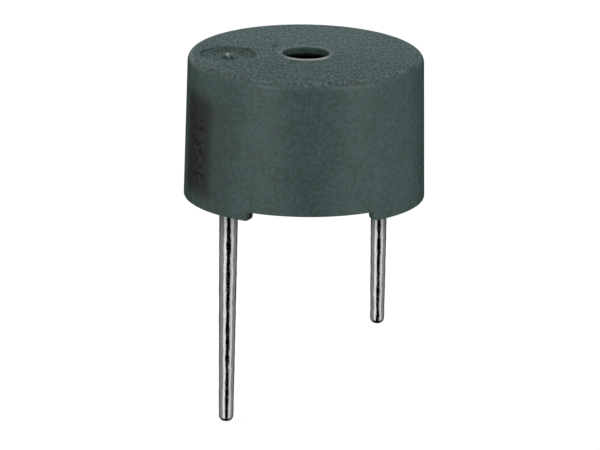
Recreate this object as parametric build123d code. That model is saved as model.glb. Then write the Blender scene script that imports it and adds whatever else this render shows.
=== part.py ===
from build123d import *
import math
import os

# A round electromagnetic buzzer for a circuit board, in millimetres.
# The origin is the centre of the seating plane, on which the two feet stand. +Z points up through
# the case to the sound port, and -X points to the positive pin.

# Case: one moulding, open at the bottom
CASE_BASE_DIAMETER = 12.14
CASE_DRAFT_DEG = 0.966
CASE_WALL = 0.60
CASE_ROOF = 0.45
CASE_EDGE_RADIUS = 0.40
CASE_EDGE_STEPS = 4
CHAMBER_DEPTH = 1.075
LEDGE_WIDTH = 0.57
FOOT_HEIGHT = 0.46
FOOT_THICKNESS = 0.42
FOOT_SPAN_DEG = 118.0
FOOT_CORNER_RADIUS = 0.24

# Sound port with its raised lip, and the recess that marks the positive side
PORT_DIAMETER = 2.36
PORT_LIP_WIDTH = 0.24
PORT_LIP_HEIGHT = 0.05
PORT_LIP_BEVEL = 0.06
RECESS_DIAMETER = 2.86
RECESS_DEPTH = 0.20
RECESS_MARGIN = 0.19
PLUS_SPAN = 0.56
PLUS_BAR = 0.17
PLUS_HEIGHT = 0.18
PIT_RADIUS = 0.13
PIT_DEPTH = 0.10
PIT_X = -1.49
PIT_Y = 1.53

# Sounder: diaphragm, magnet and pole, from the top down
ASSEMBLY_CLEARANCE = 0.03
DIAPHRAGM_THICKNESS = 0.08
ARMATURE_DIAMETER = 4.40
ARMATURE_THICKNESS = 0.35
SUPPORT_RING_HEIGHT = 2.30
SUPPORT_RING_WALL = 0.52
MAGNET_CLEARANCE = 0.32
MAGNET_WALL = 1.30
MAGNET_AIR_GAP = 0.55
YOKE_THICKNESS = 0.55
POLE_DIAMETER = 1.90
POLE_AIR_GAP = 0.30
POLE_CHAMFER = 0.10
SPIGOT_DIAMETER = 1.20
COIL_CLEARANCE = 0.55
FEEDBACK_WINDING_THICKNESS = 0.40
WINDING_SETBACK = 0.22
LEAD_DIAMETER = 0.10
LEAD_TAIL = 0.06
LEAD_PASSAGE_WIDTH = 0.40
COMMON_LEAD_DEG = 150.0
DRIVE_LEAD_DEG = 30.0
FEEDBACK_LEAD_DEG = 210.0

# Circuit board and what is soldered under it
BOARD_THICKNESS = 0.50
COPPER_THICKNESS = 0.05
TRACK_WIDTH = 0.35
PIN_PAD_WIDTH = 1.60
LEAD_PAD_WIDTH = 0.70
LEG_PAD_LENGTH = 0.70
LEG_PAD_WIDTH = 0.60
PIN_JOINT_HEIGHT = 0.80
PIN_JOINT_TOE = 0.08
LEAD_JOINT_HEIGHT = 0.12
LEAD_JOINT_DIAMETER = 0.50
PART_STANDOFF = 0.05
LEG_THICKNESS = 0.12
LEG_SHOULDER = 0.18
LEG_FOOT = 0.42
TRANSISTOR_LENGTH = 2.90
TRANSISTOR_WIDTH = 1.30
TRANSISTOR_HEIGHT = 1.00
TRANSISTOR_LEG_WIDTH = 0.40
TRANSISTOR_LEG_PITCH = 1.90
TRANSISTOR_X = 0.60
TRANSISTOR_Y = -2.70
DIODE_LENGTH = 1.70
DIODE_WIDTH = 1.25
DIODE_HEIGHT = 0.90
DIODE_LEG_WIDTH = 0.30
DIODE_Y = 2.60
RESISTOR_LENGTH = 1.60
RESISTOR_WIDTH = 0.80
RESISTOR_HEIGHT = 0.45
RESISTOR_CAP_LENGTH = 0.30
RESISTOR_CAP_THICKNESS = 0.02
RESISTOR_X = -2.25
RESISTOR_Y = -2.85

# Sealing compound, poured level with the parts covered, and drawn up along the wall
FILL_COVER = 0.50
FILL_RECESS = 0.30
FILL_MENISCUS = 0.18
FILL_MENISCUS_WIDTH = 0.60

# Pins: one tinned wire each, with a thicker coat of solder near the case
PIN_PITCH = 7.60
PIN_WIRE_DIAMETER = 0.70
PIN_ABOVE_BOARD = 0.15
PIN_PASSAGE_DIAMETER = 1.60
PIN_BOARD_CLEARANCE = 0.02
POSITIVE_PIN_LENGTH = 11.94
NEGATIVE_PIN_LENGTH = 6.83
POSITIVE_PIN_COAT = 0.130
NEGATIVE_PIN_COAT = 0.060
POSITIVE_TIP_COAT = 0.028
NEGATIVE_TIP_COAT = 0.010
COAT_LEAD_IN = 0.03
COAT_LENGTH = 2.00
PIN_TIP_RADIUS = 0.30
PIN_TIP_STEPS = 2

# Heights, from the seating plane up
RIM_Z = FOOT_HEIGHT
FILL_Z = RIM_Z + FILL_RECESS
FILL_WALL_Z = FILL_Z - FILL_MENISCUS
TALLEST_PART = max(TRANSISTOR_HEIGHT, DIODE_HEIGHT) + PART_STANDOFF
BOARD_Z = FILL_Z + FILL_COVER + TALLEST_PART + COPPER_THICKNESS
PAD_Z = BOARD_Z - COPPER_THICKNESS
YOKE_Z = BOARD_Z + BOARD_THICKNESS
YOKE_TOP_Z = YOKE_Z + YOKE_THICKNESS
DIAPHRAGM_Z = YOKE_TOP_Z + SUPPORT_RING_HEIGHT
LEDGE_Z = DIAPHRAGM_Z + DIAPHRAGM_THICKNESS
ROOF_Z = LEDGE_Z + CHAMBER_DEPTH
CASE_TOP_Z = ROOF_Z + CASE_ROOF
POLE_TOP_Z = DIAPHRAGM_Z - POLE_AIR_GAP

# Radii and places that follow from the sizes above
BASE_RADIUS = CASE_BASE_DIAMETER / 2
DRAFT_PER_MM = math.tan(math.radians(CASE_DRAFT_DEG))
TOP_RADIUS = BASE_RADIUS - DRAFT_PER_MM * (CASE_TOP_Z - RIM_Z)
EDGE_X = TOP_RADIUS - CASE_EDGE_RADIUS / math.tan(math.radians((90 + CASE_DRAFT_DEG) / 2))
EDGE_Z = CASE_TOP_Z - CASE_EDGE_RADIUS
FOOT_BASE_RADIUS = BASE_RADIUS + DRAFT_PER_MM * FOOT_HEIGHT
BORE_RADIUS = BASE_RADIUS - CASE_WALL
CHAMBER_RADIUS = BORE_RADIUS - LEDGE_WIDTH
SEAT_RADIUS = BORE_RADIUS - ASSEMBLY_CLEARANCE
RECESS_RADIUS = RECESS_DIAMETER / 2
RECESS_X = -(TOP_RADIUS - CASE_EDGE_RADIUS - RECESS_MARGIN - RECESS_RADIUS)
POLE_RADIUS = POLE_DIAMETER / 2
RING_BORE_RADIUS = SEAT_RADIUS - SUPPORT_RING_WALL
MAGNET_RADIUS = RING_BORE_RADIUS - MAGNET_CLEARANCE
MAGNET_BORE_RADIUS = MAGNET_RADIUS - MAGNET_WALL
FEEDBACK_RADIUS = MAGNET_BORE_RADIUS - COIL_CLEARANCE
DRIVE_RADIUS = FEEDBACK_RADIUS - FEEDBACK_WINDING_THICKNESS
POSITIVE_X = -PIN_PITCH / 2
NEGATIVE_X = PIN_PITCH / 2


def at_angle(distance, degrees):
    """The two coordinates of a point, from its distance and direction."""
    turn = math.radians(degrees)
    return (distance * math.cos(turn), distance * math.sin(turn))


DRIVE_LEAD_RADIUS = (POLE_RADIUS + DRIVE_RADIUS) / 2
FEEDBACK_LEAD_RADIUS = (DRIVE_RADIUS + FEEDBACK_RADIUS) / 2
COMMON_LEAD = at_angle(DRIVE_LEAD_RADIUS, COMMON_LEAD_DEG)
DRIVE_LEAD = at_angle(DRIVE_LEAD_RADIUS, DRIVE_LEAD_DEG)
FEEDBACK_LEAD = at_angle(FEEDBACK_LEAD_RADIUS, FEEDBACK_LEAD_DEG)
LEADS = (COMMON_LEAD, DRIVE_LEAD, FEEDBACK_LEAD)


def turned(points):
    """A solid turned about Z from an outline of radius and height."""
    return revolve(Plane.XZ * make_face(Polyline(*points, close=True)), Axis.Z)


def rounded(radius, centre_radius, centre_z, start_deg, end_deg, steps):
    """Points on an arc of the outline, which stay within a hundredth of a millimetre of the arc."""
    turns = [start_deg + (end_deg - start_deg) * step / steps for step in range(steps + 1)]
    arc = [at_angle(radius, turn) for turn in turns]
    return [(centre_radius + across, centre_z + up) for across, up in arc]


def ring_outline(inner_radius, outer_radius, low_z, high_z):
    """The section of a plain ring: inner and outer lower corners, then outer and inner upper ones."""
    return [(inner_radius, low_z), (outer_radius, low_z), (outer_radius, high_z), (inner_radius, high_z)]


def ring(inner_radius, outer_radius, low_z, high_z):
    """A plain ring or, with no inner radius, a disc about Z."""
    return turned(ring_outline(inner_radius, outer_radius, low_z, high_z))


def post(place, radius, low_z, high_z):
    """An upright cylinder at a place on the board."""
    return Pos(*place, (low_z + high_z) / 2) * Cylinder(radius, high_z - low_z)


def make_case():
    """The moulded case: drafted wall, roof with its lipped port, chamber, ledge, marks and feet."""
    port_radius = PORT_DIAMETER / 2
    lip_z = CASE_TOP_Z + PORT_LIP_HEIGHT
    shell = turned(
        [
            (BORE_RADIUS, RIM_Z),
            (BASE_RADIUS, RIM_Z),
            *rounded(CASE_EDGE_RADIUS, EDGE_X, EDGE_Z, CASE_DRAFT_DEG, 90, CASE_EDGE_STEPS),
            (port_radius + PORT_LIP_WIDTH, CASE_TOP_Z),
            (port_radius + PORT_LIP_WIDTH - PORT_LIP_BEVEL, lip_z),
            (port_radius + PORT_LIP_BEVEL, lip_z),
            (port_radius, CASE_TOP_Z),
            (port_radius, ROOF_Z),
            (CHAMBER_RADIUS, ROOF_Z),
            (CHAMBER_RADIUS, LEDGE_Z),
            (BORE_RADIUS, LEDGE_Z),
        ]
    )
    floor_z = CASE_TOP_Z - RECESS_DEPTH
    shell -= post((RECESS_X, 0), RECESS_RADIUS, floor_z, CASE_TOP_Z)
    plus = Box(PLUS_SPAN, PLUS_BAR, PLUS_HEIGHT) + Box(PLUS_BAR, PLUS_SPAN, PLUS_HEIGHT)
    shell += Pos(RECESS_X, 0, floor_z + PLUS_HEIGHT / 2) * plus
    shell -= Pos(PIT_X, PIT_Y, CASE_TOP_Z - PIT_DEPTH / 2) * Cone(0, PIT_RADIUS, PIT_DEPTH)
    foot = make_foot()
    return shell + foot + Rot(Z=180) * foot


def make_foot():
    """The foot under the positive pin: an arc flush with the wall, with rounded lower ends."""
    inner_radius = BASE_RADIUS - FOOT_THICKNESS
    section = make_face(
        Polyline(
            (inner_radius, 0),
            (FOOT_BASE_RADIUS, 0),
            (BASE_RADIUS, RIM_Z),
            (inner_radius, RIM_Z),
            close=True,
        )
    )
    arc = revolve(Plane.XZ * section, Axis.Z, FOOT_SPAN_DEG)
    lower_ends = arc.edges().filter_by(GeomType.LINE).filter_by_position(Axis.Z, 0, 0)
    arc = fillet(lower_ends, FOOT_CORNER_RADIUS)
    return Rot(Z=180 - FOOT_SPAN_DEG / 2) * arc


def make_yoke_plate():
    """The steel plate that carries magnet and pole, punched for the spigot, the pins and the leads."""
    plate = ring(SPIGOT_DIAMETER / 2, SEAT_RADIUS, YOKE_Z, YOKE_TOP_Z)
    for pin_x in (POSITIVE_X, NEGATIVE_X):
        plate -= post((pin_x, 0), PIN_PASSAGE_DIAMETER / 2, YOKE_Z, YOKE_TOP_Z)
    passage = Box(LEAD_PASSAGE_WIDTH, LEAD_PASSAGE_WIDTH, YOKE_THICKNESS)
    for lead in LEADS:
        plate -= Pos(*lead, YOKE_Z + YOKE_THICKNESS / 2) * passage
    return plate


def make_pole_core():
    """The soft iron pole, with the spigot that is riveted through the yoke plate."""
    spigot_radius = SPIGOT_DIAMETER / 2
    return turned(
        [
            (0, YOKE_Z),
            (spigot_radius, YOKE_Z),
            (spigot_radius, YOKE_TOP_Z),
            (POLE_RADIUS, YOKE_TOP_Z),
            (POLE_RADIUS, POLE_TOP_Z - POLE_CHAMFER),
            (POLE_RADIUS - POLE_CHAMFER, POLE_TOP_Z),
            (0, POLE_TOP_Z),
        ]
    )


def make_winding(inner_radius, outer_radius):
    """One layer of the coil, wound on the pole and bonded, standing on the yoke plate."""
    return ring(inner_radius, outer_radius, YOKE_TOP_Z, POLE_TOP_Z - WINDING_SETBACK)


def make_circuit_board():
    """The round board, holed for the pins and the coil leads."""
    board = ring(0, SEAT_RADIUS, BOARD_Z, YOKE_Z)
    for pin_x in (POSITIVE_X, NEGATIVE_X):
        board -= post((pin_x, 0), PIN_WIRE_DIAMETER / 2 + PIN_BOARD_CLEARANCE, BOARD_Z, YOKE_Z)
    for lead in LEADS:
        board -= post(lead, LEAD_DIAMETER / 2 + PIN_BOARD_CLEARANCE, BOARD_Z, YOKE_Z)
    return board


def leg_pad(place):
    """A copper pad under one soldered leg."""
    return Pos(*place) * Rectangle(LEG_PAD_WIDTH, LEG_PAD_LENGTH)


def track(*places):
    """A copper track through a few places, square at its ends and wide enough to fill its bends."""
    copper = Sketch()
    for start, end in zip(places, places[1:]):
        run = Vector(*end) - Vector(*start)
        middle = (Vector(*end) + Vector(*start)) / 2
        turn = math.degrees(math.atan2(run.Y, run.X))
        copper += Pos(middle.X, middle.Y) * Rot(Z=turn) * Rectangle(run.length + TRACK_WIDTH, TRACK_WIDTH)
    return copper


def make_copper_tracks():
    """The five tracks under the board, each in one piece with its pads."""
    leg_reach = LEG_SHOULDER + LEG_THICKNESS / 2 + LEG_FOOT / 2
    leg_y = TRANSISTOR_WIDTH / 2 + leg_reach
    collector = (TRANSISTOR_X, TRANSISTOR_Y + leg_y)
    base = (TRANSISTOR_X - TRANSISTOR_LEG_PITCH / 2, TRANSISTOR_Y - leg_y)
    emitter = (TRANSISTOR_X + TRANSISTOR_LEG_PITCH / 2, TRANSISTOR_Y - leg_y)
    diode_x = DIODE_LENGTH / 2 + leg_reach
    cathode = (-diode_x, DIODE_Y)
    anode = (diode_x, DIODE_Y)
    resistor_end = (RESISTOR_LENGTH - RESISTOR_CAP_LENGTH) / 2
    feedback_end = (RESISTOR_X, RESISTOR_Y + resistor_end)
    base_end = (RESISTOR_X, RESISTOR_Y - resistor_end)
    positive = (POSITIVE_X, 0)
    negative = (NEGATIVE_X, 0)
    pin_pad = Rectangle(PIN_PAD_WIDTH, PIN_PAD_WIDTH)
    lead_pad = Rectangle(LEAD_PAD_WIDTH, LEAD_PAD_WIDTH)
    positive_net = track(positive, COMMON_LEAD, cathode) + leg_pad(cathode)
    positive_net += Pos(*positive) * pin_pad + Pos(*COMMON_LEAD) * lead_pad
    drive_net = track(collector, DRIVE_LEAD, anode) + leg_pad(anode) + leg_pad(collector)
    drive_net += Pos(*DRIVE_LEAD) * lead_pad
    feedback_net = track(FEEDBACK_LEAD, feedback_end) + leg_pad(feedback_end)
    feedback_net += Pos(*FEEDBACK_LEAD) * lead_pad
    base_net = track(base_end, base) + leg_pad(base_end) + leg_pad(base)
    negative_net = track(negative, emitter) + leg_pad(emitter) + Pos(*negative) * pin_pad
    holes = Sketch()
    for pin_place in (positive, negative):
        holes += Pos(*pin_place) * Circle(PIN_WIRE_DIAMETER / 2)
    for lead in LEADS:
        holes += Pos(*lead) * Circle(LEAD_DIAMETER / 2)
    nets = (positive_net, drive_net, feedback_net, base_net, negative_net)
    return [extrude(Pos(0, 0, PAD_Z) * (net - holes), COPPER_THICKNESS) for net in nets]


def package(length, width, height):
    """A moulded component body that hangs under the board."""
    return Pos(0, 0, PAD_Z - PART_STANDOFF - height / 2) * Box(length, width, height)


def gull_leg(reach, leg_width, height):
    """A bent leg from a body's side, at a distance along +Y, up to its pad and out along it."""
    middle_z = PAD_Z - PART_STANDOFF - height / 2
    bend = reach + LEG_SHOULDER
    end = bend + LEG_THICKNESS + LEG_FOOT
    side = make_face(
        Polyline(
            (reach, middle_z + LEG_THICKNESS / 2),
            (bend, middle_z + LEG_THICKNESS / 2),
            (bend, PAD_Z),
            (end, PAD_Z),
            (end, PAD_Z - LEG_THICKNESS),
            (bend + LEG_THICKNESS, PAD_Z - LEG_THICKNESS),
            (bend + LEG_THICKNESS, middle_z - LEG_THICKNESS / 2),
            (reach, middle_z - LEG_THICKNESS / 2),
            close=True,
        )
    )
    return extrude(Plane.YZ * side, leg_width / 2, both=True)


def make_transistor():
    """The switching transistor: its body, and its three legs."""
    place = Pos(TRANSISTOR_X, TRANSISTOR_Y, 0)
    body = place * package(TRANSISTOR_LENGTH, TRANSISTOR_WIDTH, TRANSISTOR_HEIGHT)
    leg = gull_leg(TRANSISTOR_WIDTH / 2, TRANSISTOR_LEG_WIDTH, TRANSISTOR_HEIGHT)
    half_pitch = TRANSISTOR_LEG_PITCH / 2
    legs = [place * leg] + [place * Pos(x, 0, 0) * Rot(Z=180) * leg for x in (-half_pitch, half_pitch)]
    return body, legs


def make_diode():
    """The clamp diode across the drive winding: its body, and its two legs."""
    place = Pos(0, DIODE_Y, 0)
    body = place * package(DIODE_LENGTH, DIODE_WIDTH, DIODE_HEIGHT)
    leg = gull_leg(DIODE_LENGTH / 2, DIODE_LEG_WIDTH, DIODE_HEIGHT)
    return body, [place * Rot(Z=turn) * leg for turn in (-90, 90)]


def make_resistor():
    """The base resistor: its ceramic body, and the two metal caps on its ends."""
    skin = 2 * RESISTOR_CAP_THICKNESS
    place = Pos(RESISTOR_X, RESISTOR_Y, PAD_Z - RESISTOR_HEIGHT / 2)
    body = place * Box(RESISTOR_WIDTH - skin, RESISTOR_LENGTH - skin, RESISTOR_HEIGHT - skin)
    offset = (RESISTOR_LENGTH - RESISTOR_CAP_LENGTH) / 2
    cap = Box(RESISTOR_WIDTH, RESISTOR_CAP_LENGTH, RESISTOR_HEIGHT)
    return body, [place * Pos(0, y, 0) * cap - body for y in (-offset, offset)]


def make_coil_leads():
    """The three ends of the windings, straight down to their pads."""
    return [post(lead, LEAD_DIAMETER / 2, PAD_Z - LEAD_TAIL, YOKE_TOP_Z) for lead in LEADS]


def make_lead_joints(coil_leads):
    """A flat mound of solder over each lead's end."""
    low_z = PAD_Z - LEAD_JOINT_HEIGHT
    mounds = [post(lead, LEAD_JOINT_DIAMETER / 2, low_z, PAD_Z) for lead in LEADS]
    return [mound - wire for mound, wire in zip(mounds, coil_leads)]


def make_pin_joint(pin_x):
    """The cone of solder between a pin and its pad."""
    wire_radius = PIN_WIRE_DIAMETER / 2
    low_z = PAD_Z - PIN_JOINT_HEIGHT
    cone = turned(
        [
            (wire_radius, low_z),
            (wire_radius + PIN_JOINT_TOE, low_z),
            (PIN_PAD_WIDTH / 2, PAD_Z),
            (wire_radius, PAD_Z),
        ]
    )
    return Pos(pin_x, 0, 0) * cone


def make_pin(pin_x, length, coat, tip_coat):
    """A pin: bare wire in the case, then its solder coat, thinner to the rounded tip."""
    wire_radius = PIN_WIRE_DIAMETER / 2
    coat_radius = wire_radius + coat
    tip_radius = wire_radius + tip_coat
    tip_core = tip_radius - PIN_TIP_RADIUS
    shoulder_z = PIN_TIP_RADIUS - length
    pin = turned(
        [
            (0, -length),
            *rounded(PIN_TIP_RADIUS, tip_core, shoulder_z, -90, 0, PIN_TIP_STEPS),
            (coat_radius, -COAT_LENGTH),
            (coat_radius, 0),
            (coat_radius - COAT_LEAD_IN, FILL_Z),
            (wire_radius, FILL_Z),
            (wire_radius, YOKE_Z + PIN_ABOVE_BOARD),
            (0, YOKE_Z + PIN_ABOVE_BOARD),
        ]
    )
    return Pos(pin_x, 0, 0) * pin


def make_sealing_compound(buried):
    """The compound that closes the case, cast round all that hangs under the board."""
    compound = turned(
        [
            (0, FILL_Z),
            (BORE_RADIUS - FILL_MENISCUS_WIDTH, FILL_Z),
            (BORE_RADIUS, FILL_WALL_Z),
            (BORE_RADIUS, BOARD_Z),
            (0, BOARD_Z),
        ]
    )
    for solid in buried:
        compound -= solid
    return compound


transistor_body, transistor_legs = make_transistor()
diode_body, diode_legs = make_diode()
resistor_body, resistor_caps = make_resistor()
copper_tracks = make_copper_tracks()
coil_leads = make_coil_leads()
lead_joints = make_lead_joints(coil_leads)
positive_joint = make_pin_joint(POSITIVE_X)
negative_joint = make_pin_joint(NEGATIVE_X)
positive_pin = make_pin(POSITIVE_X, POSITIVE_PIN_LENGTH, POSITIVE_PIN_COAT, POSITIVE_TIP_COAT)
negative_pin = make_pin(NEGATIVE_X, NEGATIVE_PIN_LENGTH, NEGATIVE_PIN_COAT, NEGATIVE_TIP_COAT)
buried = [
    transistor_body, *transistor_legs, diode_body, *diode_legs, resistor_body, *resistor_caps,
    *copper_tracks, *coil_leads, *lead_joints, positive_joint, negative_joint, positive_pin, negative_pin,
]

pieces = {
    "case": make_case(),
    "diaphragm": ring(0, SEAT_RADIUS, DIAPHRAGM_Z, LEDGE_Z),
    "armature_disc": ring(0, ARMATURE_DIAMETER / 2, LEDGE_Z, LEDGE_Z + ARMATURE_THICKNESS),
    "support_ring": ring(RING_BORE_RADIUS, SEAT_RADIUS, YOKE_TOP_Z, DIAPHRAGM_Z),
    "ring_magnet": ring(MAGNET_BORE_RADIUS, MAGNET_RADIUS, YOKE_TOP_Z, DIAPHRAGM_Z - MAGNET_AIR_GAP),
    "yoke_plate": make_yoke_plate(),
    "pole_core": make_pole_core(),
    "drive_winding": make_winding(POLE_RADIUS, DRIVE_RADIUS),
    "feedback_winding": make_winding(DRIVE_RADIUS, FEEDBACK_RADIUS),
    "coil_leads": Compound(children=coil_leads),
    "lead_joints": Compound(children=lead_joints),
    "circuit_board": make_circuit_board(),
    "copper_tracks": Compound(children=copper_tracks),
    "transistor_body": transistor_body,
    "transistor_legs": Compound(children=transistor_legs),
    "diode_body": diode_body,
    "diode_legs": Compound(children=diode_legs),
    "resistor_body": resistor_body,
    "resistor_caps": Compound(children=resistor_caps),
    "positive_joint": positive_joint,
    "negative_joint": negative_joint,
    "positive_pin": positive_pin,
    "negative_pin": negative_pin,
    "sealing_compound": make_sealing_compound(buried),
}

os.makedirs("parts", exist_ok=True)
for name, piece in pieces.items():
    export_step(piece, f"parts/{name}.step")
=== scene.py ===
import math

import bpy
from bpy.props import FloatProperty, FloatVectorProperty, IntProperty, PointerProperty
from mathutils import Matrix, Vector


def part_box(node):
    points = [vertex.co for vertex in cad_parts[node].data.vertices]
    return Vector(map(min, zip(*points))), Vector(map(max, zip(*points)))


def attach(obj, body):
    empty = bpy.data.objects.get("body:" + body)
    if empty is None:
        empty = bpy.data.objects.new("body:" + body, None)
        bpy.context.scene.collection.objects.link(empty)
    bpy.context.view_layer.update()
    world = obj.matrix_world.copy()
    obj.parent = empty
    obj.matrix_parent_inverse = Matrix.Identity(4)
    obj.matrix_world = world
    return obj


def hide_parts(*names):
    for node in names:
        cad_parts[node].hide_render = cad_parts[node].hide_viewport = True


bl_info = {
    "name": "Round Buzzer",
    "version": (1, 0, 0),
    "blender": (4, 5, 0),
    "location": "View3D > Sidebar > Buzzer",
    "description": "Models the case, pins and sealing compound of a round buzzer and sets its studio",
    "category": "Object",
}

MM = 0.001
WELD = 0.001 * MM
# Colour of the painted shade and of the dark specks on the wall
BLACK = (0.004, 0.004, 0.005)

# The darker patch with dark specks on the case's wall
PATCH_TURN = math.radians(68.8)
PATCH_MIDDLE = 3.2 * MM
PATCH_HALF_HEIGHT = 3.0 * MM

# Heights between which the tin goes from its own tone to the darker, greenish tone near the case
ROOT_TONE_HEIGHTS = -2.8 * MM, 0.1 * MM

# What shiny surfaces see: azimuths in degrees and heights from -1 to 1, each edge from 0 to full
LEFT_PANEL = (-15, -29), (-62, -52)
RIGHT_PANEL = (24, 41), (72, 64)
WALLS = (50, 66), (135, 115)
PANEL_HEIGHTS = (0.7, 0.5), (-0.9, -0.5)
CEILING = 0.4, 0.6

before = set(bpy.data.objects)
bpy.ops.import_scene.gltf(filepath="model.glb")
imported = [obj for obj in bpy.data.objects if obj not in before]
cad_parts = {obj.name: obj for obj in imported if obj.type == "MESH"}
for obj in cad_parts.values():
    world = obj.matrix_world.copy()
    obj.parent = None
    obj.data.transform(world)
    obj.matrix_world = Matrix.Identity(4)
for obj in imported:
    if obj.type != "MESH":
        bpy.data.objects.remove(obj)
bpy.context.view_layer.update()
case_low, case_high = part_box("case")
fill_low, fill_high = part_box("sealing_compound")
positive_low, positive_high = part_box("positive_pin")
negative_low, negative_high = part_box("negative_pin")


def screen_colour(red, green, blue):
    """A colour written in screen values from 0 to 255, as the linear values that Blender uses."""
    def linear(value):
        value /= 255
        return value / 12.92 if value <= 0.04045 else ((value + 0.055) / 1.055) ** 2.4

    return linear(red), linear(green), linear(blue)


def length(name, description, millimetres):
    """A size that the user may change, given in millimetres."""
    return FloatProperty(name=name, description=description, default=millimetres * MM, unit="LENGTH",
                         precision=5, min=0)


def angle(name, description, degrees):
    """An angle that the user may change, given in degrees."""
    return FloatProperty(name=name, description=description, default=math.radians(degrees),
                         subtype="ANGLE")


def colour(name, description, red, green, blue):
    """A colour that the user may change, given in screen values."""
    return FloatVectorProperty(name=name, description=description, size=3, min=0, max=1,
                               default=screen_colour(red, green, blue), subtype="COLOR")


def amount(name, description, default):
    """A plain number that the user may change."""
    return FloatProperty(name=name, description=description, default=default, min=0)


class BuzzerCaseSizes(bpy.types.PropertyGroup):
    """Sizes of the moulded case."""

    outer_radius: FloatProperty(name="Outer Radius", description="Radius at the undersides of the feet",
                                default=case_high.x, unit="LENGTH", precision=5)
    height: FloatProperty(name="Height", description="From the undersides of the feet to the port's lip",
                          default=case_high.z, unit="LENGTH", precision=5)
    draft: angle("Draft", "Taper of the wall towards the top", 0.966)
    wall: length("Wall", "Thickness of the wall at the rim", 0.60)
    roof: length("Roof", "Thickness of the roof", 0.45)
    edge_radius: length("Edge Radius", "Rounding of the upper edge", 0.40)
    chamber_depth: length("Chamber Depth", "Height of the air chamber under the roof", 1.075)
    ledge: length("Ledge", "Width of the ledge on which the diaphragm seats", 0.57)
    rim_break: length("Rim Break", "Rounding of the small sharp edges", 0.02)
    port_radius: length("Port Radius", "Radius of the sound port", 1.18)
    lip_width: length("Lip Width", "Width of the raised lip round the sound port", 0.24)
    lip_height: length("Lip Height", "Height of the lip over the top", 0.05)
    lip_bevel: length("Lip Bevel", "Width of the lip's inner and outer slopes", 0.06)
    lip_rounding: length("Lip Rounding", "Rounding of the lip's edges", 0.08)
    foot_height: length("Foot Height", "Height of the two feet", 0.46)
    foot_thickness: length("Foot Thickness", "Thickness of the two feet", 0.42)
    foot_span: angle("Foot Span", "Angle that each foot spans", 118)
    foot_corner: length("Foot Corner", "Rounding of the lower ends of the feet", 0.24)


class BuzzerMarkSizes(bpy.types.PropertyGroup):
    """Sizes of the mark beside the positive pin and of the small pit."""

    recess_radius: length("Recess Radius", "Radius of the round recess", 1.43)
    recess_depth: length("Recess Depth", "Depth of the round recess", 0.20)
    recess_margin: length("Recess Margin", "From the recess to the rounding of the case", 0.19)
    recess_lip: length("Recess Lip", "Rounding of the recess's upper edge", 0.06)
    recess_corner: length("Recess Corner", "Rounding where the recess's wall meets its floor", 0.12)
    plus_span: length("Plus Span", "Length of the raised plus's bars", 0.56)
    plus_bar: length("Plus Bar", "Width of the raised plus's bars", 0.17)
    plus_height: length("Plus Height", "Height of the raised plus", 0.18)
    plus_edge: length("Plus Edge", "Rounding of the raised plus's edges", 0.03)
    pit_x: FloatProperty(name="Pit X", description="Place of the small pit", default=-1.49 * MM,
                         unit="LENGTH", precision=5)
    pit_y: FloatProperty(name="Pit Y", description="Place of the small pit", default=1.53 * MM,
                         unit="LENGTH", precision=5)
    pit_radius: length("Pit Radius", "Radius of the small pit", 0.13)
    pit_depth: length("Pit Depth", "Depth of the small pit", 0.10)


class BuzzerPinSizes(bpy.types.PropertyGroup):
    """Sizes of the two tinned pins."""

    positive_tip: length("Positive Tip", "Radius of the positive pin at its tip", 0.378)
    negative_tip: length("Negative Tip", "Radius of the negative pin at its tip", 0.360)
    tip_rounding: length("Tip Rounding", "Rounding of the tips", 0.27)
    full_coat: length("Full Coat", "Length below the feet over which the solder is thickest", 2.0)
    wire: length("Wire", "Radius of the bare wire inside the case", 0.35)
    ripple: length("Ripple", "Unevenness of the dipped solder", 0.024)
    ripple_size: length("Ripple Size", "Size of one swell in the solder", 0.55)
    ring_step: length("Ring Step", "Spacing of the rings that carry the ripple", 0.08)
    sides: IntProperty(name="Sides", description="Faces round each pin", default=48, min=8)


class BuzzerFillSizes(bpy.types.PropertyGroup):
    """Sizes of the sealing compound's visible surface."""

    recess: length("Recess", "From the rim up to the compound's flat face", 0.30)
    meniscus: length("Meniscus", "How far the compound climbs the wall", 0.18)
    meniscus_width: length("Meniscus Width", "Width over which the compound climbs the wall", 0.60)
    collar: length("Collar", "How far the compound climbs each pin", 0.10)
    collar_reach: length("Collar Reach", "Width over which the compound climbs each pin", 0.40)


class BuzzerFinishes(bpy.types.PropertyGroup):
    """Colours and grain of the visible materials."""

    case: colour("Case", "The case's plastic", 68, 89, 86)
    case_roughness: amount("Case Roughness", "How dull the case's plastic is", 0.38)
    # Colour of the darker patch on the wall above the positive pin
    dark_patch: colour("Scuff", "The worn patch beside the positive pin", 40, 41, 43)
    tin: colour("Tin", "Dipped solder on the pins", 226, 228, 228)
    # Darker, greenish tone of the solder near the case
    tin_root: colour("Tin Root", "Flux-stained solder near the case", 74, 92, 86)
    # Pale colour of the port's lip, partly wear and partly painted highlight, and of the painted highlight
    # on the plus
    worn_edge_and_highlight: colour("Worn Edge", "Plastic worn pale on the port's lip and the plus", 168, 174, 173)
    compound: colour("Compound", "Cast sealing compound", 22, 23, 24)


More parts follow.
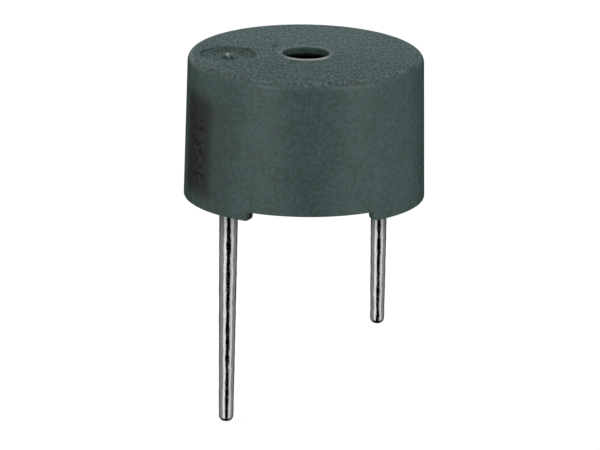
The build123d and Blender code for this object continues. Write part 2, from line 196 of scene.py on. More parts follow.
class BuzzerStageSettings(bpy.types.PropertyGroup):
    """The camera, the lights and the floor."""

    elevation: angle("Elevation", "Height of the camera over the horizon", 15.461)
    turn: angle("Turn", "Direction of the camera, from the front towards the positive pin", 4.25)
    roll: angle("Roll", "Tilt of the camera about its own axis", 0.8)
    distance: length("Distance", "From the camera to the middle of the case", 708)
    middle: length("Middle", "Height of the middle of the case over the feet", 3.80)
    lens: amount("Lens", "Focal length in millimetres on a 36 millimetre sensor", 842.8)
    ambient: amount("Ambient", "Strength of the light from all round", 0.73)
    left_panel: amount("Left Panel", "Brightness of the reflected panel at the left", 0.95)
    right_panel: amount("Right Panel", "Brightness of the reflected panel at the right", 0.66)
    walls: amount("Walls", "Brightness of the reflected room beyond the panels", 0.25)
    overhead: amount("Overhead", "Brightness of the reflected ceiling", 0.5)
    key: amount("Key", "Brightness of the light at the right", 1.03)
    back: amount("Back", "Brightness of the light behind", 0.40)
    rim: amount("Rim", "Brightness of the light behind at the left", 0.5)


class Value:
    """A socket's value. Python's operators on it add Math nodes."""

    def __init__(self, shader, socket):
        self.shader = shader
        self.socket = socket

    def maths(self, operation, *values):
        sockets = dict(enumerate(values))
        return self.shader.node("Math", {"operation": operation}, sockets)

    def __add__(self, other):
        return self.maths("ADD", self, other)

    def __sub__(self, other):
        return self.maths("SUBTRACT", self, other)

    def __rsub__(self, other):
        return self.maths("SUBTRACT", other, self)

    def __mul__(self, other):
        return self.maths("MULTIPLY", self, other)

    def __truediv__(self, other):
        return self.maths("DIVIDE", self, other)

    __radd__ = __add__
    __rmul__ = __mul__

    def __abs__(self):
        return self.maths("ABSOLUTE", self)

    def ramp(self, start, end, low=0.0, high=1.0):
        """Runs smoothly from low at start to high at end."""
        settings = {"interpolation_type": "SMOOTHSTEP"}
        sockets = {"Value": self, "From Min": start, "From Max": end, "To Min": low, "To Max": high}
        if start > end:
            sockets.update({"From Min": end, "From Max": start, "To Min": high, "To Max": low})
        return self.shader.node("MapRange", settings, sockets)

    def apart(self, middle, reach, soft):
        """1 near a middle value, falling softly to 0 where the value is a reach away from it."""
        return abs(self - middle).ramp(reach, reach - soft)

    def band(self, near, far):
        """1 between two soft edges, each given by where it is 0 and where it is 1."""
        return self.ramp(*near) * self.ramp(*far)

    def waves(self, pitch):
        """Rises and falls evenly between 0 and a half, once in each pitch."""
        return self.maths("PINGPONG", self / pitch, 0.5)


class Shader:
    """The nodes of one material or of the world."""

    def __init__(self, tree):
        self.tree = tree
        tree.nodes.clear()

    def add(self, kind, settings=None, sockets=None):
        """Adds a node, with its settings first and then the values or links of its sockets."""
        node = self.tree.nodes.new("ShaderNode" + kind)
        for name, value in (settings or {}).items():
            setattr(node, name, value)
        for name, value in (sockets or {}).items():
            if isinstance(value, Value):
                self.tree.links.new(value.socket, node.inputs[name])
            else:
                node.inputs[name].default_value = value
        return node

    def node(self, kind, settings=None, sockets=None, output=0):
        """Adds a node and gives one of its outputs."""
        return Value(self, self.add(kind, settings, sockets).outputs[output])

    def place(self):
        """The point on the piece, in metres."""
        return self.node("TexCoord", output="Object")

    def parts(self, vector):
        """The three numbers of a vector."""
        return [Value(self, output) for output in self.add("SeparateXYZ", sockets={0: vector}).outputs]

    def across(self, vector):
        """The distance of a point from the upright axis."""
        flat = self.stretched(vector, (1.0, 1.0, 0.0))
        return self.node("VectorMath", {"operation": "LENGTH"}, {0: flat}, "Value")

    def noise(self, vector, size, detail=2.0, roughness=0.5):
        """Soft random swells of a size in metres, from 0 to 1."""
        sockets = {"Vector": vector, "Scale": 1 / size, "Detail": detail, "Roughness": roughness}
        return self.node("TexNoise", sockets=sockets)

    def stretched(self, vector, scale):
        """The point with each direction scaled."""
        return self.node("VectorMath", {"operation": "MULTIPLY"}, {0: vector, 1: scale})

    def mixed(self, factor, first, second):
        """A colour between two colours."""
        def four(value):
            return value if isinstance(value, Value) else (*value, 1.0)

        return self.node("Mix", {"data_type": "RGBA"}, {0: factor, 6: four(first), 7: four(second)}, 2)

    def bump(self, height, distance, strength=1.0):
        """A normal that shows a height between 0 and 1 as relief of a depth in metres."""
        return self.node("Bump", sockets={"Height": height, "Distance": distance, "Strength": strength})

    def surface(self, sockets):
        """Ends a material with a Principled shader."""
        self.end(self.node("BsdfPrincipled", sockets=sockets))

    def end(self, surface, kind="OutputMaterial"):
        """Adds the output node."""
        self.add(kind, sockets={"Surface": surface})


def new_material(name):
    """An empty material and its shader."""
    material = bpy.data.materials.new(name)
    material.use_nodes = True
    return material, Shader(material.node_tree)


def case_dark_patch(shader, place):
    """Masks of a darker patch on the wall, above the positive pin, and of the dark specks in it."""
    x, y, z = shader.parts(place)
    along = x * -math.cos(PATCH_TURN) + y * math.sin(PATCH_TURN)
    up = abs((z - PATCH_MIDDLE) / PATCH_HALF_HEIGHT)
    front = (x * -math.sin(PATCH_TURN) + y * -math.cos(PATCH_TURN)).ramp(3.6 * MM, 5.0 * MM)
    patch = along.apart(0, 1.7 * MM, 0.9 * MM) * 0.75 + along.apart(-0.9 * MM, 2.4 * MM, 1.8 * MM) * 0.3
    patch = patch.maths("MINIMUM", patch, 0.9) * up.ramp(1.05, 0.7) * front
    specks = shader.noise(shader.stretched(place, (1.0, 0.5, 1.0)), 0.20 * MM, 1.0).ramp(0.50, 0.56)
    specks = specks * along.apart(0, 1.0 * MM, 0.4 * MM) * up.ramp(0.75, 0.5) * front
    return patch, specks


def case_wear_and_highlight(shader, place, sizes, recess_x, sparkle):
    """Mask of the pale lip of the port, partly wear and partly a painted highlight that is strongest at the
    front, and of the painted highlight on the plus.
    """
    x, y, z = shader.parts(place)
    top_z = sizes.height - sizes.lip_height
    from_port = shader.across(place)
    lip = from_port.apart(sizes.port_radius + sizes.lip_width / 2, 0.14 * MM, 0.05 * MM)
    # The lip is palest at the front: a painted highlight over a faint even wear
    lip = lip * z.ramp(top_z - 0.01 * MM, top_z + 0.02 * MM) * ((y / from_port).ramp(-0.4, -0.9) * 0.8 + 0.2)
    # Painted highlight: pale specks on the raised plus
    plus = x.apart(recess_x, 0.34 * MM, 0.04 * MM) * y.apart(0, 0.34 * MM, 0.04 * MM)
    plus = plus * z.ramp(top_z - 0.16 * MM, top_z - 0.06 * MM) * (sparkle + 0.6)
    return lip + plus


def case_painted_shade(shader, place, sizes, marks, on_top):
    """Mask of painted shade: deep in the port, round the pit and on the ends of the left foot."""
    x, y, z = shader.parts(place)
    top_z = sizes.height - sizes.lip_height
    foot_edge = sizes.foot_span / 2
    # Painted shade on the lower part of the port's wall
    port = shader.across(place).ramp(sizes.port_radius + 0.05 * MM, sizes.port_radius + 0.02 * MM)
    port = port * z.ramp(top_z - 0.28 * MM, top_z - 0.36 * MM)
    # Painted shade on the top round the small pit
    pit = x.apart(marks.pit_x, 0.19 * MM, 0.1 * MM) * y.apart(marks.pit_y, 0.55 * MM, 0.3 * MM)
    # Painted shade on the ends of the left foot
    foot_end = x.maths("ARCTAN2", abs(y), abs(x)).ramp(foot_edge - 0.03, foot_edge - 0.015)
    foot_end = foot_end * z.ramp(sizes.foot_height, sizes.foot_height - 0.04 * MM) * x.ramp(0, -MM)
    return port + pit * on_top * 0.7 + foot_end * 0.85


def case_material(finishes, sizes, marks, recess_x):
    """Dull moulded plastic: grained, with a pale lip that is partly wear and partly painted highlight, a
    painted highlight on the plus, a darker patch above the positive pin and painted shade in the port, round
    the pit and on the left foot.
    """
    material, shader = new_material("case_plastic")
    place = shader.place()
    on_top = shader.parts(shader.node("NewGeometry", output="Normal"))[2].ramp(0.5, 0.95)
    grain = shader.noise(place, 0.20 * MM, 3.0, 0.6)
    clouds = shader.noise(place, 1.1 * MM, 2.0)
    sparkle = shader.noise(shader.stretched(place, (1.0, 0.4, 1.0)), 0.12 * MM, 1.0).ramp(0.32, 0.68) - 0.5
    mottle = (grain * 0.75 + clouds * 0.25).ramp(0.36, 0.64) - 0.5
    dark = tuple(0.45 * part for part in finishes.case)
    light = tuple(1.55 * part for part in finishes.case)
    moulded = shader.mixed(0.5 + mottle * 0.34 + sparkle * on_top, dark, light)
    patch, specks = case_dark_patch(shader, place)
    # Mixes in the darker patch on the wall above the positive pin
    marked = shader.mixed(patch, moulded, finishes.dark_patch)
    # Pale lip and plus: partly wear, partly painted highlight
    wear_and_highlight = case_wear_and_highlight(shader, place, sizes, recess_x, sparkle)
    pale = shader.mixed(wear_and_highlight, marked, finishes.worn_edge_and_highlight)
    # Painted shade in the port, round the pit and on the left foot's ends, with the dark specks of the patch
    shade_and_specks = case_painted_shade(shader, place, sizes, marks, on_top) + specks * 0.9
    shader.surface({
        "Base Color": shader.mixed(shade_and_specks.maths("MINIMUM", shade_and_specks, 1.0), pale, BLACK),
        "Roughness": finishes.case_roughness + (grain - 0.5) * 0.25 + specks * 0.5,
        "Coat Weight": (sparkle + 0.5) * on_top * 0.36,
        "Coat Roughness": 0.35,
        "Normal": shader.bump(grain + clouds * 0.3, 0.024 * MM, 1 - on_top * 0.75),
    })
    return material


def tin_material(finishes):
    """Dipped solder: bright, softly uneven, and darker and greenish near the case."""
    material, shader = new_material("tinned_metal")
    place = shader.place()
    height = shader.parts(place)[2]
    swells = shader.noise(shader.stretched(place, (1.0, 1.0, 0.55)), 0.36 * MM, 2.0)
    # Darker, greenish towards the case
    root_share = height.ramp(*ROOT_TONE_HEIGHTS)
    tone = shader.mixed(root_share * 0.9, finishes.tin, finishes.tin_root)
    roughness = shader.noise(place, 0.12 * MM, 2.0).ramp(0.42, 0.62) * 0.2 + 0.05
    relief = shader.bump(swells, 0.022 * MM)
    shader.surface({"Base Color": tone, "Metallic": 1.0, "Roughness": roughness, "Normal": relief})
    return material


def compound_material(finishes):
    """Cast dark compound, smooth, with a faint flow."""
    material, shader = new_material("sealing_epoxy")
    place = shader.place()
    flow = shader.noise(place, 1.6 * MM, 2.0)
    fine = shader.noise(place, 0.12 * MM, 2.0)
    lighter = tuple(1.5 * part for part in finishes.compound)
    tone = shader.mixed(flow.ramp(0.35, 0.65), finishes.compound, lighter)
    roughness = flow * 0.15 + 0.22
    relief = shader.bump(flow + fine * 0.1, 0.05 * MM)
    shader.surface({"Base Color": tone, "Roughness": roughness, "Normal": relief})
    return material


def grained_material(name, tone, roughness, metallic=0.0, grain_size=0.12, contrast=0.12, depth=0.006):
    """A material with a fine grain in its colour, gloss and relief. Sizes are in millimetres."""
    material, shader = new_material(name)
    place = shader.place()
    grain = shader.noise(place, grain_size * MM, 3.0, 0.6)
    dark = tuple((1 - contrast) * part for part in tone)
    light = tuple(min(1.0, (1 + contrast) * part) for part in tone)
    shader.surface({
        "Base Color": shader.mixed(grain.ramp(0.35, 0.65), dark, light),
        "Roughness": roughness + (grain - 0.5) * 0.2,
        "Metallic": metallic,
        "Normal": shader.bump(grain, depth * MM),
    })
    return material


def rolled_material(name, tone, roughness):
    """Sheet metal with fine straight rolling lines."""
    material, shader = new_material(name)
    place = shader.place()
    lines = shader.noise(shader.stretched(place, (0.06, 1.0, 1.0)), 0.05 * MM, 2.0)
    dark = tuple(0.85 * part for part in tone)
    shader.surface({
        "Base Color": shader.mixed(lines.ramp(0.3, 0.7), dark, tone),
        "Roughness": roughness + (lines - 0.5) * 0.2,
        "Metallic": 1.0,
        "Normal": shader.bump(lines, 0.002 * MM),
    })
    return material


def wound_material(name, tone):
    """Enamelled wire, wound turn upon turn about the upright axis, with painted shade in the grooves between
    the turns.
    """
    material, shader = new_material(name)
    place = shader.place()
    height = shader.parts(place)[2]
    turn = height.waves(0.06 * MM) * 2
    drift = shader.noise(place, 0.5 * MM, 2.0)
    dark = tuple(0.45 * part for part in tone)
    shader.surface({
        # Painted shade in the grooves between the turns of wire
        "Base Color": shader.mixed(turn.ramp(0.0, 0.6) * (drift * 0.3 + 0.7), dark, tone),
        "Roughness": 0.28 + drift * 0.1,
        "Metallic": 0.85,
        "Normal": shader.bump(turn, 0.03 * MM),
    })
    return material


def laminate_material():
    """Bare glass and resin board, with a faint weave."""
    material, shader = new_material("board_laminate")
    place = shader.place()
    x, y, _ = shader.parts(place)
    weave = x.waves(0.25 * MM) + y.waves(0.25 * MM)
    fibre = shader.noise(place, 0.1 * MM, 3.0)
    tone = shader.mixed(weave.ramp(0.2, 0.8) * 0.5 + fibre * 0.5, screen_colour(150, 132, 78),
                        screen_colour(190, 172, 112))
    shader.surface({"Base Color": tone, "Roughness": 0.38 + fibre * 0.1,
                    "Normal": shader.bump(weave, 0.006 * MM)})
    return material


def deselect():
    """Nothing stays selected in object mode."""
    bpy.ops.object.select_all(action="DESELECT")


def activate(piece):
    """Only this piece is selected and active."""
    deselect()
    piece.select_set(True)
    bpy.context.view_layer.objects.active = piece


def edit(piece):
    """Opens a piece in edit mode with nothing selected."""
    activate(piece)
    bpy.ops.object.mode_set(mode="EDIT")
    bpy.ops.mesh.select_all(action="DESELECT")


def leave_edit():
    bpy.ops.object.mode_set(mode="OBJECT")


def pick(piece, kind, chosen):
    """Selects, in edit mode, the vertices, edges or faces that a test on them picks."""
    bpy.ops.mesh.select_mode(type={"vertices": "VERT", "edges": "EDGE", "polygons": "FACE"}[kind])
    bpy.ops.mesh.select_all(action="DESELECT")
    bpy.ops.object.mode_set(mode="OBJECT")
    count = 0
    for item in getattr(piece.data, kind):
        item.select = bool(chosen(item))
        count += item.select
    bpy.ops.object.mode_set(mode="EDIT")
    if not count:
        raise RuntimeError(f"nothing of {piece.name} was picked")


def near(point, places):
    """Whether a vertex lies at one of these places, in the X-Z plane."""
    return any(abs(point.x - radius) < WELD and abs(point.z - height) < WELD for radius, height in places)


def draw_outline(name, points, roundings):
    """Draws an outline of radius and height by extruding a point, and rounds some of its corners."""
    deselect()
    bpy.ops.mesh.primitive_plane_add(size=MM, location=(0, 0, 0))
    piece = bpy.context.object
    piece.name = name
    piece.data.name = name
    bpy.ops.object.mode_set(mode="EDIT")
    bpy.ops.mesh.select_mode(type="VERT")
    bpy.ops.mesh.select_all(action="SELECT")
    bpy.ops.mesh.merge(type="CENTER")
    start = points[0]
    bpy.ops.transform.translate(value=(start[0], 0, start[1]))
    for before, after in zip(points, points[1:]):
        step = (after[0] - before[0], 0, after[1] - before[1])
        bpy.ops.mesh.extrude_vertices_move(TRANSFORM_OT_translate={"value": step})
    if points[0] == points[-1]:
        bpy.ops.mesh.select_all(action="SELECT")
        bpy.ops.mesh.remove_doubles(threshold=WELD)
    for corner, (radius, segments) in roundings.items():
        before, here, after = (Vector(points[i]) for i in (corner - 1, corner, corner + 1))
        between = (before - here).angle(after - here)
        pick(piece, "vertices", lambda vertex: near(vertex.co, [tuple(here)]))
        bpy.ops.mesh.bevel(offset=radius / math.tan(between / 2), segments=segments, affect="VERTICES",
                           clamp_overlap=False)
    return piece


def spin_outline(piece, arcs, centre=(0, 0)):
    """Spins an outline about an upright axis through arcs of an angle and a number of steps."""
    bpy.ops.mesh.select_all(action="SELECT")
    for turn, steps in arcs:
        bpy.ops.mesh.spin(steps=steps, angle=turn, center=(*centre, 0), axis=(0, 0, 1))
    bpy.ops.mesh.select_all(action="SELECT")
    bpy.ops.mesh.remove_doubles(threshold=WELD)
    bpy.ops.mesh.normals_make_consistent(inside=False)
    leave_edit()
    return piece


def apply_modifier(piece, kind, **settings):
    """Adds a modifier to a piece and applies it."""
    activate(piece)
    bpy.ops.object.modifier_add(type=kind)
    modifier = piece.modifiers[-1]
    for name, value in settings.items():
        setattr(modifier, name, value)
    bpy.ops.object.modifier_apply(modifier=modifier.name)


def move_mesh(piece, offset):
    """Moves all of a piece's mesh, with its object left at the origin."""
    edit(piece)
    bpy.ops.mesh.select_all(action="SELECT")
    bpy.ops.transform.translate(value=offset)
    leave_edit()


def resize_mesh(piece, factor):
    """Resizes all of a piece's mesh about the origin."""
    activate(piece)
    piece.scale = (factor, factor, factor)
    bpy.ops.object.transform_apply(location=False, rotation=False, scale=True)


def combine(piece, tool, operation):
    """Adds or cuts a tool's shape, both enlarged so that the solver tells small gaps from none."""
    resize_mesh(piece, 1 / MM)
    resize_mesh(tool, 1 / MM)
    apply_modifier(piece, "BOOLEAN", operation=operation, object=tool, solver="EXACT")
    bpy.data.objects.remove(tool)
    resize_mesh(piece, MM)


def shade(piece, sharp_degrees=30):
    """Smooth shading with crisp edges, and normals that keep the level faces flat."""
    edit(piece)
    pick(piece, "polygons", lambda face: abs(face.normal.z) > 0.9999)
    bpy.ops.mesh.mod_weighted_strength(set=True, face_strength="STRONG")
    leave_edit()
    bpy.ops.object.shade_smooth_by_angle(angle=math.radians(sharp_degrees))
    apply_modifier(piece, "WEIGHTED_NORMAL", keep_sharp=True, use_face_influence=True)


def finish_piece(piece, node, material):
    """A finished piece takes its material, rides on the body and stands for its node."""
    piece.data.materials.clear()
    piece.data.materials.append(material)
    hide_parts(node)
    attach(piece, "root")


def make_feet(piece, sizes, rim_z, base_radius):
    """Extrudes the two feet down from the rim and rounds their lower ends."""
    half = sizes.foot_span / 2
    inner = base_radius - sizes.foot_thickness

    def under_foot(face):
        middle = face.center
        turn = math.atan2(middle.y, abs(middle.x))
        outside = math.hypot(middle.x, middle.y) > inner
        return abs(middle.z - rim_z) < WELD and outside and abs(turn) < half

    pick(piece, "polygons", under_foot)
    bpy.ops.mesh.extrude_region_move(TRANSFORM_OT_translate={"value": (0, 0, -sizes.foot_height)})

    def foot_end(edge):
        first, second = (piece.data.vertices[index].co for index in edge.vertices)
        turn = math.atan2(first.y, abs(first.x))
        radial = abs(first.xy.length - second.xy.length) > sizes.foot_thickness / 2
        low = max(first.z, second.z) < WELD
        return radial and low and abs(abs(turn) - half) < 0.001

    pick(piece, "edges", foot_end)
    bpy.ops.mesh.bevel(offset=sizes.foot_corner, segments=6, affect="EDGES", clamp_overlap=False)
    drafted = sizes.outer_radius / base_radius

    def outer_bottom(vertex):
        return vertex.co.z < rim_z - sizes.foot_height / 2 and vertex.co.xy.length > inner + WELD

    pick(piece, "vertices", outer_bottom)
    bpy.ops.transform.resize(value=(drafted, drafted, 1), center_override=(0, 0, 0))
    leave_edit()


def make_plus(sizes, floor_z):
    """The small raised plus: a cube whose four sides are drawn out, with rounded edges."""
    bar = sizes.plus_bar
    depth = sizes.plus_height * 2
    deselect()
    bpy.ops.mesh.primitive_cube_add(size=bar, location=(0, 0, 0))
    plus = bpy.context.object
    bpy.ops.object.mode_set(mode="EDIT")
    pick(plus, "polygons", lambda face: abs(face.normal.z) < 0.5)
    reach = (sizes.plus_span - bar) / 2
    bpy.ops.mesh.extrude_faces_move(TRANSFORM_OT_shrink_fatten={"value": reach})
    bpy.ops.mesh.select_all(action="SELECT")
    bpy.ops.transform.resize(value=(1, 1, depth / bar), center_override=(0, 0, 0))
    bpy.ops.transform.translate(value=(0, 0, floor_z))
    leave_edit()
    apply_modifier(plus, "BEVEL", width=sizes.plus_edge, segments=3, limit_method="ANGLE")
    return plus


class BUZZER_OT_model_case(bpy.types.Operator):
    """Model the moulded case with its port, recess, plus, pit and feet"""

    bl_idname = "buzzer.model_case"
    bl_label = "Model Case"

    def execute(self, context):
        sizes = context.scene.buzzer_case
        marks = context.scene.buzzer_marks
        slope = math.tan(sizes.draft)
        rim_z = sizes.foot_height
        top_z = sizes.height - sizes.lip_height
        base_radius = sizes.outer_radius - slope * rim_z
        top_radius = base_radius - slope * (top_z - rim_z)
        bore = base_radius - sizes.wall
        chamber = bore - sizes.ledge
        roof_z = top_z - sizes.roof
        ledge_z = roof_z - sizes.chamber_depth
        outline = [
            (bore, rim_z),
            (base_radius - sizes.foot_thickness, rim_z),
            (base_radius, rim_z),
            (top_radius, top_z),
            (sizes.port_radius + sizes.lip_width, top_z),
            (sizes.port_radius + sizes.lip_width - sizes.lip_bevel, sizes.height),
            (sizes.port_radius + sizes.lip_bevel, sizes.height),
            (sizes.port_radius, top_z),
            (sizes.port_radius, roof_z),
            (chamber, roof_z),
            (chamber, ledge_z),
            (bore, ledge_z),
            (bore, rim_z),
        ]
        lip = {corner: (sizes.lip_rounding, 4) for corner in (4, 5, 6, 7)}
        case = draw_outline("case_moulding", outline, {3: (sizes.edge_radius, 14), **lip})
        half = sizes.foot_span / 2
        # Each end of a foot is one step, wide enough for the rounding of its corner
        end = 1.4 * sizes.foot_corner / (base_radius - sizes.foot_thickness)
        step = math.radians(0.5)
        between = math.pi - 2 * half
        middle = 2 * (half - end)
        arcs = [(between, round(between / step)), (end, 1), (middle, round(middle / step)), (end, 1)]
        bpy.ops.mesh.select_all(action="SELECT")
        bpy.ops.transform.rotate(value=half, orient_axis="Z", center_override=(0, 0, 0))
        spin_outline(case, arcs * 2)
        edit(case)
        make_feet(case, sizes, rim_z, base_radius)
        apply_modifier(case, "BEVEL", width=sizes.rim_break, segments=2, limit_method="ANGLE",
                       angle_limit=math.radians(50), use_clamp_overlap=False)
        recess_x = -(top_radius - sizes.edge_radius - marks.recess_margin - marks.recess_radius)
        floor_z = top_z - marks.recess_depth
        combine(case, self.recess_cutter(marks, top_z, (recess_x, 0)), "DIFFERENCE")
        combine(case, self.pit_cutter(marks, top_z), "DIFFERENCE")
        plus = make_plus(marks, floor_z)
        move_mesh(plus, (recess_x, 0, 0))
        combine(case, plus, "UNION")
        shade(case)
        material = case_material(context.scene.buzzer_finishes, sizes, marks, recess_x)
        finish_piece(case, "case", material)
        return {"FINISHED"}

    def recess_cutter(self, marks, top_z, place):
        """A tool for the round recess, flared where it leaves the top."""
        skim = top_z + 4 * WELD
        radius = marks.recess_radius
        flange = radius + 4 * marks.recess_lip
        lid = top_z + marks.recess_depth
        floor_z = top_z - marks.recess_depth
        points = [(0, floor_z), (radius, floor_z), (radius, skim), (flange, skim), (flange, lid), (0, lid)]
        tool = draw_outline("recess_tool", points,
                            {1: (marks.recess_corner, 5), 2: (marks.recess_lip, 6)})
        spin_outline(tool, [(2 * math.pi, 180)])
        move_mesh(tool, (*place, 0))
        return tool

    def pit_cutter(self, marks, top_z):
        """A tool for the small round pit."""
        skim = top_z + 4 * WELD
        radius = marks.pit_radius
        points = [(0, top_z - marks.pit_depth), (radius * 0.55, top_z - marks.pit_depth), (radius, skim),
                  (2 * radius, skim), (2 * radius, top_z + radius), (0, top_z + radius)]
        rounding = (0.02 * MM, 4)
        tool = draw_outline("pit_tool", points, {1: rounding, 2: rounding})
        spin_outline(tool, [(2 * math.pi, 32)])
        move_mesh(tool, (marks.pit_x, marks.pit_y, 0))
        return tool


class BUZZER_OT_model_pins(bpy.types.Operator):
    """Model the two tinned pins"""

    bl_idname = "buzzer.model_pins"
    bl_label = "Model Pins"

    def execute(self, context):
        sizes = context.scene.buzzer_pins
        material = tin_material(context.scene.buzzer_finishes)
        fill_z = context.scene.buzzer_case.foot_height + context.scene.buzzer_fill.recess
        for name, low, high, tip in (
            ("positive_pin", positive_low, positive_high, sizes.positive_tip),
            ("negative_pin", negative_low, negative_high, sizes.negative_tip),
        ):
            pin = self.model_pin(name + "_wire", low, high, tip, sizes, fill_z)
            finish_piece(pin, name, material)
        return {"FINISHED"}

    def model_pin(self, name, low, high, tip, sizes, fill_z):
        """One pin: a spun wire with rings all along it, made uneven by its dipped solder."""
        coat = (high.x - low.x) / 2 - sizes.ripple / 2
        centre_x = (high.x + low.x) / 2
        outline = [(0, low.z), (tip - sizes.ripple / 2, low.z), (coat, -sizes.full_coat), (coat, fill_z),
                   (sizes.wire, fill_z + coat - sizes.wire), (sizes.wire, high.z), (0, high.z)]
        pin = draw_outline(name, outline, {1: (sizes.tip_rounding, 8)})
        ring_count = round((high.z - low.z) / sizes.ring_step)
        for index in range(1, ring_count):
            height = low.z + sizes.tip_rounding + index * sizes.ring_step
            if height < high.z:
                bpy.ops.mesh.select_all(action="SELECT")
                bpy.ops.mesh.bisect(plane_co=(0, 0, height), plane_no=(0, 0, 1), threshold=WELD)
        spin_outline(pin, [(2 * math.pi, sizes.sides)])
        swells = bpy.data.textures.new(name + "_swells", "CLOUDS")
        swells.noise_scale = sizes.ripple_size
        swells.noise_depth = 1
        apply_modifier(pin, "DISPLACE", texture=swells, texture_coords="LOCAL", mid_level=0.5,
                       strength=sizes.ripple)
        bpy.data.textures.remove(swells)
        move_mesh(pin, (centre_x, 0, 0))
        shade(pin, 60)
        return pin


class BUZZER_OT_model_compound(bpy.types.Operator):
    """Model the cast compound that closes the underside"""

    bl_idname = "buzzer.model_compound"
    bl_label = "Model Compound"

    def execute(self, context):
        sizes = context.scene.buzzer_fill
        rim_z = context.scene.buzzer_case.foot_height
        flat_z = rim_z + sizes.recess
        radius = fill_high.x
        flat_radius = radius - sizes.meniscus_width
        flat_rings, wall_rings = 42, 8
        surface = [(flat_radius * index / flat_rings, flat_z) for index in range(flat_rings + 1)]
        for index in range(1, wall_rings + 1):
            share = index / wall_rings
            surface.append((flat_radius + sizes.meniscus_width * share, flat_z - sizes.meniscus * share**2))
        compound = draw_outline("compound_fill", surface + [(radius, fill_high.z), (0, fill_high.z)], {})
        spin_outline(compound, [(2 * math.pi, 180)])
        edit(compound)
        for low, high in ((positive_low, positive_high), (negative_low, negative_high)):
            centre = Vector(((low.x + high.x) / 2, 0))
            wire = (high.x - low.x) / 2
            pick(compound, "vertices", lambda vertex: vertex.co.z < flat_z + WELD
                 and (vertex.co.xy - centre).length < wire)
            bpy.ops.transform.translate(value=(0, 0, -sizes.collar), use_proportional_edit=True,
                                        proportional_edit_falloff="SHARP",
                                        proportional_size=sizes.collar_reach)
        leave_edit()
        shade(compound, 40)
        finish_piece(compound, "sealing_compound",
                     compound_material(context.scene.buzzer_finishes))
        return {"FINISHED"}


class BUZZER_OT_finish_inside(bpy.types.Operator):
    """Give each inner part of the frame its finish"""

    bl_idname = "buzzer.finish_inside"
    bl_label = "Finish Inside"

    def execute(self, context):
        solder = grained_material("solder", screen_colour(200, 202, 204), 0.22, 1.0, 0.2, 0.08, 0.01)
        tin = grained_material("leg_tin", screen_colour(205, 206, 206), 0.25, 1.0, 0.1, 0.06, 0.003)
        iron = grained_material("soft_iron", screen_colour(150, 150, 152), 0.38, 1.0, 0.1, 0.1, 0.004)
        package = grained_material("package_plastic", screen_colour(30, 30, 31), 0.5, 0.0, 0.06, 0.15)
        wire = wound_material("enamelled_wire", screen_colour(196, 96, 42))
        finishes = {
            "diaphragm": rolled_material("spring_steel", screen_colour(188, 190, 192), 0.28),
            "armature_disc": iron,
            "support_ring": grained_material("ring_plastic", screen_colour(44, 44, 45), 0.5),
            "ring_magnet": grained_material("ferrite", screen_colour(58, 58, 61), 0.62, 0.0, 0.08, 0.2),
            "yoke_plate": iron,
            "pole_core": iron,
            "drive_winding": wire,
            "feedback_winding": wire,
            "coil_leads": grained_material("lead_enamel", screen_colour(196, 96, 42), 0.3, 0.85),
            "lead_joints": solder,
            "circuit_board": laminate_material(),
            "copper_tracks": grained_material("copper_foil", screen_colour(214, 132, 92), 0.32, 1.0),
            "transistor_body": package,
            "transistor_legs": tin,
            "diode_body": package,
            "diode_legs": tin,
            "resistor_body": grained_material("resistor_ceramic", screen_colour(222, 221, 214), 0.45),
            "resistor_caps": tin,
            "positive_joint": solder,
            "negative_joint": solder,
        }
        for name, material in finishes.items():
            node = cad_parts[name]
            node.data.materials.clear()
            node.data.materials.append(material)
        return {"FINISHED"}


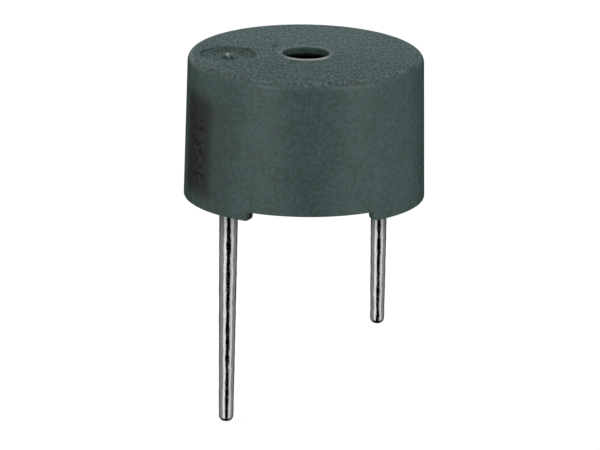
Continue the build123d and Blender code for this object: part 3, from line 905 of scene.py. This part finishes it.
class BUZZER_OT_set_stage(bpy.types.Operator):
    """Set the floor, the lights, the world and the camera"""

    bl_idname = "buzzer.set_stage"
    bl_label = "Set Stage"

    def execute(self, context):
        settings = context.scene.buzzer_stage
        self.aim = Vector((0, 0, settings.middle))
        self.turn = settings.turn
        self.make_floor()
        self.make_world(context.scene, settings)
        self.make_light("key_light", 52, 20, 160, (60, 80), settings.key)
        self.make_light("back_light", 176, 15, 40, (60, 12), settings.back, (0.74, 0.97, 1.0))
        self.make_light("rim_light", -142, 14, 60, (40, 20), settings.rim)
        self.make_camera(context.scene, settings)
        context.scene.view_settings.view_transform = "Standard"
        return {"FINISHED"}

    def outward(self, azimuth, elevation):
        """A direction from the object, with the azimuth counted from the camera to the right."""
        flat = azimuth - self.turn
        return Vector((math.sin(flat) * math.cos(elevation), -math.cos(flat) * math.cos(elevation),
                       math.sin(elevation)))

    def make_floor(self):
        deselect()
        bpy.ops.mesh.primitive_plane_add(size=3, location=(0, 0, positive_low.z))
        floor = bpy.context.object
        floor.name = "floor"
        material, shader = new_material("floor_paper")
        path = shader.node("LightPath", output="Is Camera Ray")
        paper = shader.node("BsdfDiffuse", sockets={"Color": (0.86, 0.86, 0.86, 1)})
        white = shader.node("Emission", sockets={"Color": (1, 1, 1, 1), "Strength": 1.12})
        shader.end(shader.node("MixShader", sockets={0: path * 0.8, 1: paper, 2: white}))
        floor.data.materials.append(material)
        floor.visible_glossy = False

    def make_world(self, scene, settings):
        """White to the camera, even to dull surfaces, and with a panel at each side to shiny ones."""
        world = bpy.data.worlds.new("studio")
        scene.world = world
        world.use_nodes = True
        shader = Shader(world.node_tree)
        direction = shader.node("TexCoord", output="Generated")
        x, y, z = shader.parts(direction)
        front = self.outward(0, 0)
        ahead = x * front.x + y * front.y
        aside = x * -front.y + y * front.x
        azimuth = aside.maths("ARCTAN2", aside, ahead) * math.degrees(1)
        left = azimuth.band(*LEFT_PANEL) * settings.left_panel
        right = azimuth.band(*RIGHT_PANEL) * settings.right_panel
        walls = abs(azimuth).band(*WALLS) * settings.walls
        bands = (left + right) * z.ramp(0.0, 0.2, 1.0, 2.2) + walls
        bands = bands * z.band(*PANEL_HEIGHTS) + z.ramp(*CEILING) * settings.overhead
        glossy = shader.node("LightPath", output="Is Glossy Ray")
        camera = shader.node("LightPath", output="Is Camera Ray")
        strength = settings.ambient * (1 - glossy) + bands * glossy
        strength = strength * (1 - camera) + camera
        background = shader.node("Background", sockets={"Color": (1, 1, 1, 1), "Strength": strength})
        shader.end(background, "OutputWorld")

    def make_light(self, name, azimuth, elevation, distance, size, brightness, tint=(1.0, 1.0, 1.0)):
        """A soft rectangular light that faces the case. Angles are in degrees, lengths in millimetres."""
        outward = self.outward(math.radians(azimuth), math.radians(elevation))
        deselect()
        bpy.ops.object.light_add(type="AREA", location=self.aim + outward * distance * MM)
        light = bpy.context.object
        light.name = name
        light.rotation_euler = outward.to_track_quat("Z", "Y").to_euler()
        light.data.shape = "RECTANGLE"
        light.data.size, light.data.size_y = size[0] * MM, size[1] * MM
        light.data.energy = brightness * math.pi * light.data.size * light.data.size_y
        light.data.color = tint
        light.visible_camera = False

    def make_camera(self, scene, settings):
        back = self.outward(0, settings.elevation)
        right = Vector((-back.y, back.x, 0)).normalized()
        up = back.cross(right)
        sensor, width, height = 36.0, 600, 450
        middle_px = Vector((305.0, 120.64))
        focal_px = settings.lens / sensor * width
        scale = focal_px / settings.distance
        offset = Vector((width / 2 - middle_px.x, -(height / 2 - middle_px.y)))
        offset = Matrix.Rotation(settings.roll, 2) @ offset / scale
        aim = self.aim + right * offset.x + up * offset.y
        eye = self.aim + back * settings.distance
        bpy.ops.object.camera_add(location=eye)
        camera = bpy.context.object
        camera.name = "photo_camera"
        forward = (aim - eye).normalized()
        level = forward.to_track_quat("-Z", "Y")
        camera.rotation_mode = "QUATERNION"
        camera.rotation_quaternion = level @ Matrix.Rotation(settings.roll, 3, "Z").to_quaternion()
        camera.data.lens = settings.lens
        camera.data.sensor_width = sensor
        camera.data.clip_start = 0.05
        camera.data.clip_end = 10
        scene.camera = camera


class BUZZER_PT_panel(bpy.types.Panel):
    """The sizes, finishes and steps of the buzzer"""

    bl_label = "Buzzer"
    bl_idname = "BUZZER_PT_panel"
    bl_space_type = "VIEW_3D"
    bl_region_type = "UI"
    bl_category = "Buzzer"

    def draw(self, context):
        for name in SETTINGS:
            settings = getattr(context.scene, name)
            box = self.layout.box()
            for prop in settings.bl_rna.properties:
                if prop.identifier not in ("rna_type", "name"):
                    box.prop(settings, prop.identifier)
        for operator in OPERATORS:
            self.layout.operator(operator.bl_idname)


SETTINGS = {
    "buzzer_case": BuzzerCaseSizes,
    "buzzer_marks": BuzzerMarkSizes,
    "buzzer_pins": BuzzerPinSizes,
    "buzzer_fill": BuzzerFillSizes,
    "buzzer_finishes": BuzzerFinishes,
    "buzzer_stage": BuzzerStageSettings,
}
OPERATORS = (BUZZER_OT_model_case, BUZZER_OT_model_pins, BUZZER_OT_model_compound,
             BUZZER_OT_finish_inside, BUZZER_OT_set_stage)
CLASSES = (*SETTINGS.values(), *OPERATORS, BUZZER_PT_panel)


def register():
    for item in CLASSES:
        bpy.utils.register_class(item)
    for name, group in SETTINGS.items():
        setattr(bpy.types.Scene, name, PointerProperty(type=group))


def unregister():
    for name in SETTINGS:
        delattr(bpy.types.Scene, name)
    for item in reversed(CLASSES):
        bpy.utils.unregister_class(item)


def main():
    register()
    bpy.ops.buzzer.model_case()
    bpy.ops.buzzer.model_pins()
    bpy.ops.buzzer.model_compound()
    bpy.ops.buzzer.finish_inside()
    bpy.ops.buzzer.set_stage()


if __name__ == "__main__":
    main()
